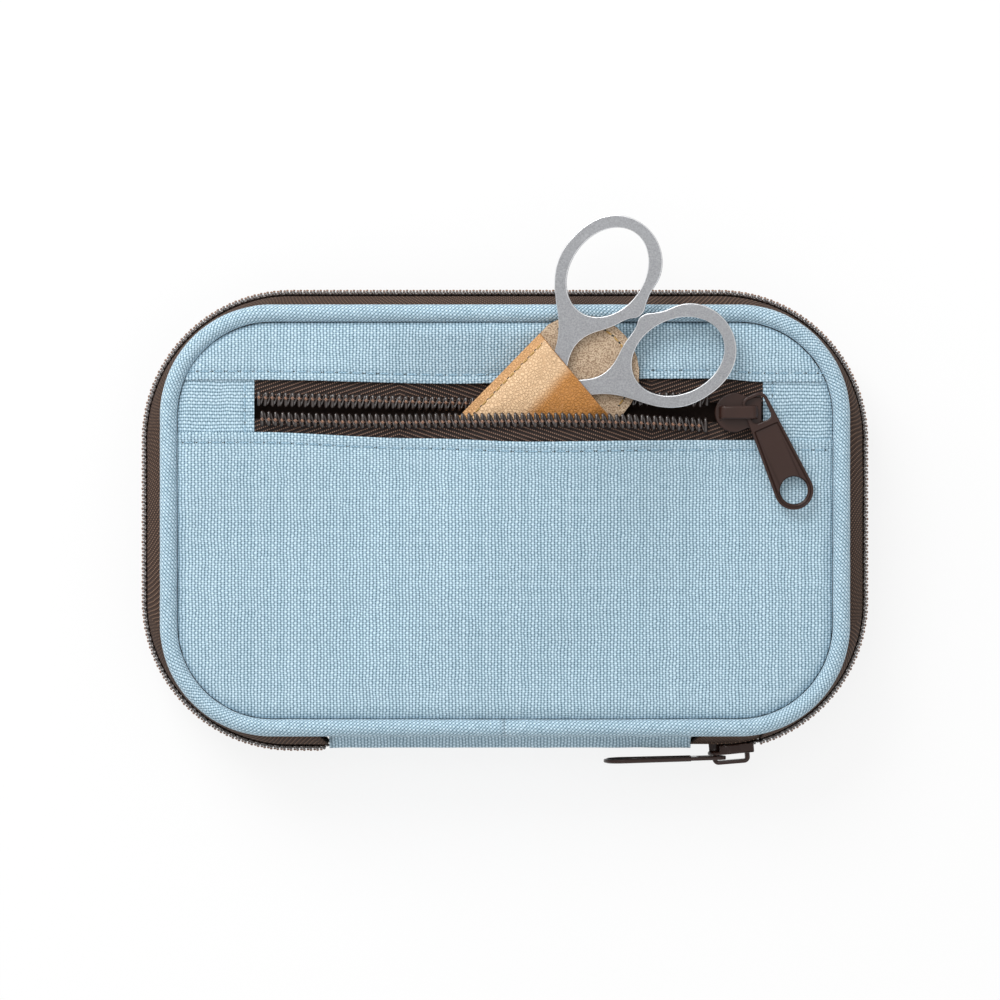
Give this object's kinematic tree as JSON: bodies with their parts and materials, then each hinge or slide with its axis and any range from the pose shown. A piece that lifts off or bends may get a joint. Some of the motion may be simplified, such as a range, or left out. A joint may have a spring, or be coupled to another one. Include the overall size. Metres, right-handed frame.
{
  "type": "crochet hook case",
  "caption": "Zip-round canvas case with a front pocket that holds flat scissors in a leather sheath.",
  "frame": {"origin": "centre of the flat back face, which the case rests on", "axes": "+Z out of the front face, +X to the right along the long side, +Y to the top, away from the spine"},
  "size_m": [0.18, 0.1356, 0.0376],
  "materials": {
    "canvas": "coarse light blue oxford canvas",
    "lining": "plain woven lining",
    "binding": "woven seam binding",
    "board": "bag stiffener board",
    "elastic": "ribbed elastic webbing",
    "zipper_tape": "herringbone tape",
    "zipper_coil": "nylon coil",
    "slider_paint": "glossy brown enamel",
    "sheath_leather": "tan grain leather",
    "sheath_suede": "tan leather, flesh side up",
    "scissor_steel": "satin steel"
  },
  "bodies": {
    "back_half": {"back_panel": "canvas", "back_stiffener": "board", "back_lining": "lining", "back_binding": "binding", "back_piping": "canvas", "back_tape": "zipper_tape", "back_coil": "zipper_coil", "hook_band_left": "elastic", "hook_band_right": "elastic"},
    "spine": {"spine_panel": "canvas", "spine_lining": "lining", "zipper_end_tapes": "zipper_tape", "zipper_end_coil": "zipper_coil"},
    "front_half": {"pocket_panel": "canvas", "upper_panel": "canvas", "pocket_tab_left": "canvas", "pocket_tab_right": "canvas", "front_piping": "canvas", "front_tape": "zipper_tape", "front_coil": "zipper_coil", "pocket_backing": "lining", "front_stiffener": "board", "front_lining": "lining", "front_binding": "binding", "pocket_tape_upper": "zipper_tape", "pocket_tape_lower": "zipper_tape", "pocket_coil_upper": "zipper_coil", "pocket_coil_lower": "zipper_coil", "inner_pocket": "lining"},
    "main_slider": {"main_slider": "slider_paint"},
    "main_pull": {"main_pull": "slider_paint"},
    "pocket_slider": {"pocket_slider": "slider_paint"},
    "pocket_pull": {"pocket_pull": "slider_paint"},
    "sheath": {"sheath_back": "sheath_suede", "sheath_flap": "sheath_leather"},
    "scissor_left": {"scissor_half_left": "scissor_steel", "scissor_rivet": "scissor_steel"},
    "scissor_right": {"scissor_half_right": "scissor_steel"}
  },
  "joints": [
    {"name": "spine_fold", "type": "hinge", "parent": "back_half", "child": "spine", "pos_m": [0, -0.0514, 0.0063], "axis": [1, 0, 0], "range_deg": [0, 66]},
    {"name": "lid_fold", "type": "hinge", "parent": "spine", "child": "front_half", "pos_m": [0, -0.0514, 0.0241], "axis": [1, 0, 0], "range_deg": [0, 104.5]},
    {"name": "main_slider_travel", "type": "hinge", "parent": "spine", "child": "main_slider", "pos_m": [0.053, -0.02, 0.0152], "axis": [0, 0, 1], "range_deg": [0, 80], "deforming": ["front_coil", "back_coil", "zipper_end_coil"]},
    {"name": "main_pull_swing", "type": "hinge", "parent": "main_slider", "child": "main_pull", "pos_m": [0.0545, -0.05896, 0.0152], "axis": [0, 0, 1], "range_deg": [0, 130]},
    {"name": "pocket_slider_travel", "type": "slide", "parent": "front_half", "child": "pocket_slider", "axis": [-1, 0, 0], "range_m": [0, 0.004], "deforming": ["pocket_coil_upper", "pocket_coil_lower"]},
    {"name": "pocket_pull_swing", "type": "hinge", "parent": "pocket_slider", "child": "pocket_pull", "pos_m": [0.0594, 0.026, 0.03205], "axis": [0.4051, -0.9143, 0], "range_deg": [0, 130]},
    {"name": "sheath_draw", "type": "slide", "parent": "front_half", "child": "sheath", "axis": [0.7625, 0.6398, 0.0958], "range_m": [0, 0.055]},
    {"name": "scissors_draw", "type": "slide", "parent": "sheath", "child": "scissor_left", "axis": [0.7625, 0.6398, 0.0958], "range_m": [0, 0.05]},
    {"name": "scissors_open", "type": "hinge", "parent": "scissor_left", "child": "scissor_right", "pos_m": [0.00747, 0.02845, 0.03036], "axis": [0.0734, 0.0616, -0.9954], "range_deg": [0, 4]}
  ],
  "couplings": [
    {"joint": "lid_fold", "follows": "spine_fold", "ratio": 1.5758}
  ]
}
